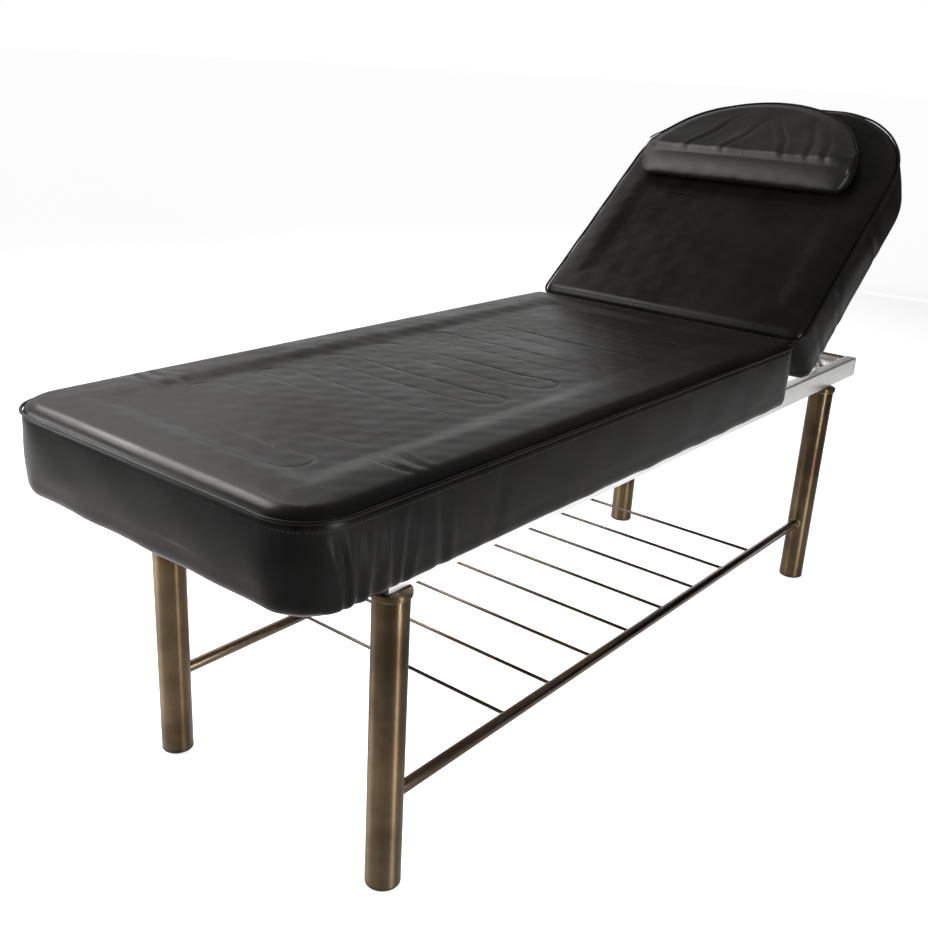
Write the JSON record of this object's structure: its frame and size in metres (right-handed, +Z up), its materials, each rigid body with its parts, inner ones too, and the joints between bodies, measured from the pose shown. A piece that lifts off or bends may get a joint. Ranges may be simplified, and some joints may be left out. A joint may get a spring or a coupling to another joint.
{
  "type": "facial treatment bed",
  "caption": "Padded treatment bed on round steel legs with a rod shelf below and a backrest that tilts up on a notched prop and folds flat; half-moon head pillow.",
  "frame": {"origin": "on the floor, under the middle of the whole bed in its rest pose", "axes": "+X from the foot of the bed to its head, +Y to the right of a person lying face up, +Z up"},
  "size_m": [1.8378, 0.6, 1.0338],
  "materials": {
    "stainless_steel": "polished stainless steel tube, warm brown reflections",
    "bright_steel": "bright polished steel",
    "zinc_plated_steel": "dull zinc plating",
    "black_plastic": "moulded, matt black",
    "leatherette": "black coated fabric with a satin sheen",
    "foam": "open-cell foam, pale yellow",
    "plywood": "raw plywood",
    "fastening_tape": "black hook-and-loop tape"
  },
  "bodies": {
    "base": {"end_rail_foot": "stainless_steel", "end_rail_head": "stainless_steel", "foot_cap_foot_left": "black_plastic", "foot_cap_foot_right": "black_plastic", "foot_cap_head_left": "black_plastic", "foot_cap_head_right": "black_plastic", "hinge_cross_tube": "stainless_steel", "hinge_lug_left": "zinc_plated_steel", "hinge_lug_right": "zinc_plated_steel", "hinge_pin_left": "zinc_plated_steel", "hinge_pin_right": "zinc_plated_steel", "leg_flange_foot_left": "stainless_steel", "leg_flange_foot_right": "stainless_steel", "leg_flange_head_left": "stainless_steel", "leg_flange_head_right": "stainless_steel", "leg_foot_left": "stainless_steel", "leg_foot_right": "stainless_steel", "leg_head_left": "stainless_steel", "leg_head_right": "stainless_steel", "middle_cross_tube": "stainless_steel", "prop_rack_left": "bright_steel", "prop_rack_right": "bright_steel", "rail_cap_foot_left": "black_plastic", "rail_cap_foot_right": "black_plastic", "rail_cap_head_left": "black_plastic", "rail_cap_head_right": "black_plastic", "seat_board": "plywood", "seat_cover": "leatherette", "seat_foam": "foam", "shelf_rail_left": "stainless_steel", "shelf_rail_right": "stainless_steel", "shelf_rod_1": "stainless_steel", "shelf_rod_2": "stainless_steel", "shelf_rod_3": "stainless_steel", "shelf_rod_4": "stainless_steel", "shelf_rod_5": "stainless_steel", "shelf_rod_6": "stainless_steel", "shelf_rod_7": "stainless_steel", "shelf_rod_8": "stainless_steel", "side_rail_left": "bright_steel", "side_rail_right": "bright_steel"},
    "backrest": {"back_board": "plywood", "back_cover": "leatherette", "back_foam": "foam", "back_subframe_cross": "zinc_plated_steel", "back_subframe_left": "zinc_plated_steel", "back_subframe_right": "zinc_plated_steel", "head_pillow": "leatherette", "hinge_ear_left": "zinc_plated_steel", "hinge_ear_right": "zinc_plated_steel", "pillow_fastening_strip": "fastening_tape", "prop_bracket_left": "zinc_plated_steel", "prop_bracket_right": "zinc_plated_steel", "prop_pin_left": "zinc_plated_steel", "prop_pin_right": "zinc_plated_steel"},
    "prop": {"prop_arm_left": "zinc_plated_steel", "prop_arm_right": "zinc_plated_steel", "prop_bar": "zinc_plated_steel"}
  },
  "joints": [
    {"name": "backrest_hinge", "type": "hinge", "parent": "base", "child": "backrest", "pos_m": [0.34871, 0, 0.5936], "axis": [0, -1, 0], "range_deg": [-38.5, 21.5]},
    {"name": "prop_hinge", "type": "hinge", "parent": "backrest", "child": "prop", "pos_m": [0.54922, 0, 0.62264], "axis": [0, -1, 0], "range_deg": [-41.5, 74]}
  ],
  "couplings": [
    {"joint": "prop_hinge", "follows": "backrest_hinge", "ratio": -1.904}
  ]
}
